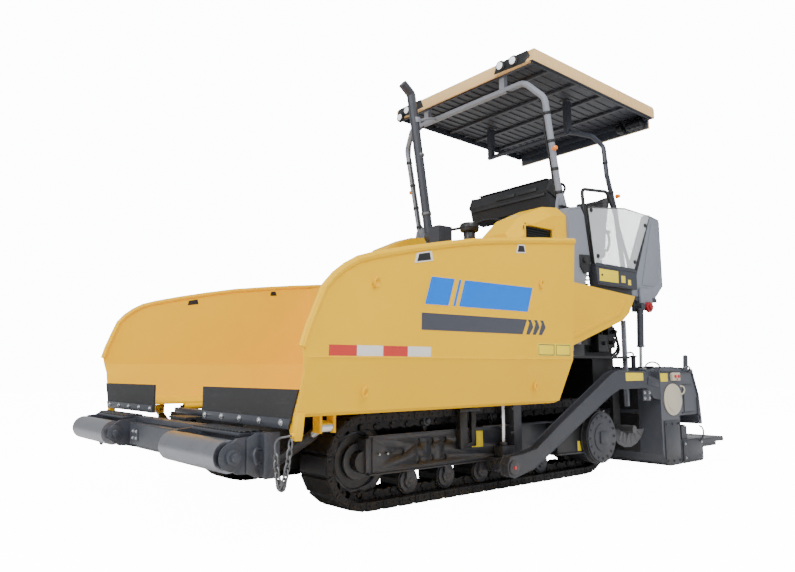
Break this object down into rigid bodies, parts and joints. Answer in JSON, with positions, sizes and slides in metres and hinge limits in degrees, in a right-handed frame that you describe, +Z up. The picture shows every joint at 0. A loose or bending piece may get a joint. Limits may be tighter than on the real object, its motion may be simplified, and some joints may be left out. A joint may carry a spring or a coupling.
{
  "type": "tracked asphalt paver",
  "caption": "Crawler road paver with folding hopper wings, push rollers, canopy platform, augers and a floating screed on tow arms.",
  "frame": {"origin": "on the ground at the middle of the machine's length and width", "axes": "+X forward to the hopper, +Y to the machine's left, +Z up"},
  "size_m": [5.64, 3.386, 3.7773],
  "materials": {
    "yellow_paint": "gloss enamel",
    "dark_grey_paint": "satin enamel",
    "black_paint": "satin enamel",
    "light_grey_paint": "satin enamel",
    "canopy_paint": "satin enamel",
    "shoe_steel": "as rolled",
    "bright_steel": "machined",
    "chrome_rod": "hard chrome",
    "rubber": "matt",
    "console_plastic": "grained",
    "seat_cover": "grained vinyl",
    "clear_sheet": "clear polycarbonate"
  },
  "bodies": {
    "chassis": {"auger_box": "black_paint", "bulkhead": "light_grey_paint", "canopy_front_frame": "dark_grey_paint", "canopy_rear_frame": "dark_grey_paint", "canopy_roof": "canopy_paint", "chassis_frame": "black_paint", "console": "console_plastic", "engine_block": "black_paint", "exhaust": "dark_grey_paint", "fender_left": "yellow_paint", "fender_right": "yellow_paint", "front_crossmember": "black_paint", "handrail_left": "black_paint", "handrail_right": "black_paint", "hood": "yellow_paint", "hopper_rear_wall": "yellow_paint", "platform": "dark_grey_paint", "rear_panel_left": "light_grey_paint", "rear_panel_right": "light_grey_paint", "seat_left": "seat_cover", "seat_right": "seat_cover", "side_rail_left": "black_paint", "side_rail_right": "black_paint", "side_screen_left": "clear_sheet", "side_screen_right": "clear_sheet", "tank_body": "black_paint", "tow_guide_left": "dark_grey_paint", "tow_guide_right": "dark_grey_paint", "track_frame_left": "dark_grey_paint", "track_frame_right": "dark_grey_paint", "track_left": "shoe_steel", "track_right": "shoe_steel"},
    "wing_left": {"wing_left": "yellow_paint", "apron_left": "rubber"},
    "wing_cylinder_left": {"wing_cylinder_left": "black_paint"},
    "wing_rod_left": {"wing_rod_left": "chrome_rod"},
    "push_roller_left": {"push_roller_left": "dark_grey_paint"},
    "screed_extension_left": {"screed_extension_left": "dark_grey_paint"},
    "auger_left": {"auger_left": "bright_steel"},
    "lift_cylinder_left": {"lift_cylinder_left": "dark_grey_paint"},
    "lift_rod_left": {"lift_rod_left": "chrome_rod"},
    "wing_right": {"wing_right": "yellow_paint", "apron_right": "rubber"},
    "wing_cylinder_right": {"wing_cylinder_right": "black_paint"},
    "wing_rod_right": {"wing_rod_right": "chrome_rod"},
    "push_roller_right": {"push_roller_right": "dark_grey_paint"},
    "screed_extension_right": {"screed_extension_right": "dark_grey_paint"},
    "auger_right": {"auger_right": "bright_steel"},
    "lift_cylinder_right": {"lift_cylinder_right": "dark_grey_paint"},
    "lift_rod_right": {"lift_rod_right": "chrome_rod"},
    "push_beam": {"push_beam": "dark_grey_paint"},
    "tow_points": {"tow_point_left": "chrome_rod", "tow_point_right": "chrome_rod"},
    "screed": {"screed_body": "dark_grey_paint", "tow_arm_left": "dark_grey_paint", "tow_arm_right": "dark_grey_paint"}
  },
  "joints": [
    {"name": "wing_fold_left", "type": "hinge", "parent": "chassis", "child": "wing_left", "pos_m": [1.35, 0.47, 0.645], "axis": [1, 0, 0], "range_deg": [0, 55]},
    {"name": "wing_cylinder_swing_left", "type": "hinge", "parent": "chassis", "child": "wing_cylinder_left", "pos_m": [2.15, 0.67, 0.3], "axis": [1, 0, 0], "range_deg": [0, 47.37]},
    {"name": "wing_cylinder_stroke_left", "type": "slide", "parent": "wing_cylinder_left", "child": "wing_rod_left", "axis": [0, 0.9084, 0.4181], "range_m": [0, 0.35043]},
    {"name": "push_roller_turn_left", "type": "hinge", "parent": "push_beam", "child": "push_roller_left", "pos_m": [2.735, 0.925, 0.47], "axis": [0, 1, 0], "continuous": true},
    {"name": "auger_turn_left", "type": "hinge", "parent": "chassis", "child": "auger_left", "pos_m": [-1.305, 0.6, 0.36], "axis": [0, 1, 0], "continuous": true},
    {"name": "screed_extend_left", "type": "slide", "parent": "screed", "child": "screed_extension_left", "axis": [0, 1, 0], "range_m": [0, 1]},
    {"name": "lift_cylinder_swing_left", "type": "hinge", "parent": "chassis", "child": "lift_cylinder_left", "pos_m": [-1.6, 1.1, 1.5], "axis": [0, -1, 0], "range_deg": [0, 10.53]},
    {"name": "lift_cylinder_stroke_left", "type": "slide", "parent": "lift_cylinder_left", "child": "lift_rod_left", "axis": [-0.0665, 0, 0.9978], "range_m": [0, 0.16188]},
    {"name": "wing_fold_right", "type": "hinge", "parent": "chassis", "child": "wing_right", "pos_m": [1.35, -0.47, 0.645], "axis": [-1, 0, 0], "range_deg": [0, 55]},
    {"name": "wing_cylinder_swing_right", "type": "hinge", "parent": "chassis", "child": "wing_cylinder_right", "pos_m": [2.15, -0.67, 0.3], "axis": [-1, 0, 0], "range_deg": [0, 47.37]},
    {"name": "wing_cylinder_stroke_right", "type": "slide", "parent": "wing_cylinder_right", "child": "wing_rod_right", "axis": [0, -0.9084, 0.4181], "range_m": [0, 0.35043]},
    {"name": "push_roller_turn_right", "type": "hinge", "parent": "push_beam", "child": "push_roller_right", "pos_m": [2.735, -0.925, 0.47], "axis": [0, 1, 0], "continuous": true},
    {"name": "auger_turn_right", "type": "hinge", "parent": "chassis", "child": "auger_right", "pos_m": [-1.305, -0.6, 0.36], "axis": [0, 1, 0], "continuous": true},
    {"name": "screed_extend_right", "type": "slide", "parent": "screed", "child": "screed_extension_right", "axis": [0, -1, 0], "range_m": [0, 1]},
    {"name": "lift_cylinder_swing_right", "type": "hinge", "parent": "chassis", "child": "lift_cylinder_right", "pos_m": [-1.6, -1.1, 1.5], "axis": [0, -1, 0], "range_deg": [0, 10.53]},
    {"name": "lift_cylinder_stroke_right", "type": "slide", "parent": "lift_cylinder_right", "child": "lift_rod_right", "axis": [-0.0665, 0, 0.9978], "range_m": [0, 0.16188]},
    {"name": "push_beam_swing", "type": "hinge", "parent": "chassis", "child": "push_beam", "pos_m": [2.42, 0, 0.47], "axis": [0, 0, 1], "range_deg": [-6, 6]},
    {"name": "tow_point_raise", "type": "slide", "parent": "chassis", "child": "tow_points", "axis": [0, 0, 1], "range_m": [0, 0.2]},
    {"name": "screed_lift", "type": "hinge", "parent": "tow_points", "child": "screed", "pos_m": [0.47, 0, 0.198], "axis": [0, 1, 0], "range_deg": [0, 5]}
  ],
  "couplings": [
    {"joint": "wing_cylinder_swing_left", "follows": "wing_fold_left", "ratio": 0.86124},
    {"joint": "wing_cylinder_stroke_left", "follows": "wing_fold_left", "m_per_rad": 0.36505},
    {"joint": "lift_cylinder_swing_left", "follows": "screed_lift", "ratio": 2.107},
    {"joint": "lift_cylinder_stroke_left", "follows": "screed_lift", "m_per_rad": 1.855},
    {"joint": "wing_cylinder_swing_right", "follows": "wing_fold_right", "ratio": 0.86124},
    {"joint": "wing_cylinder_stroke_right", "follows": "wing_fold_right", "m_per_rad": 0.36505},
    {"joint": "lift_cylinder_swing_right", "follows": "screed_lift", "ratio": 2.107},
    {"joint": "lift_cylinder_stroke_right", "follows": "screed_lift", "m_per_rad": 1.855}
  ]
}
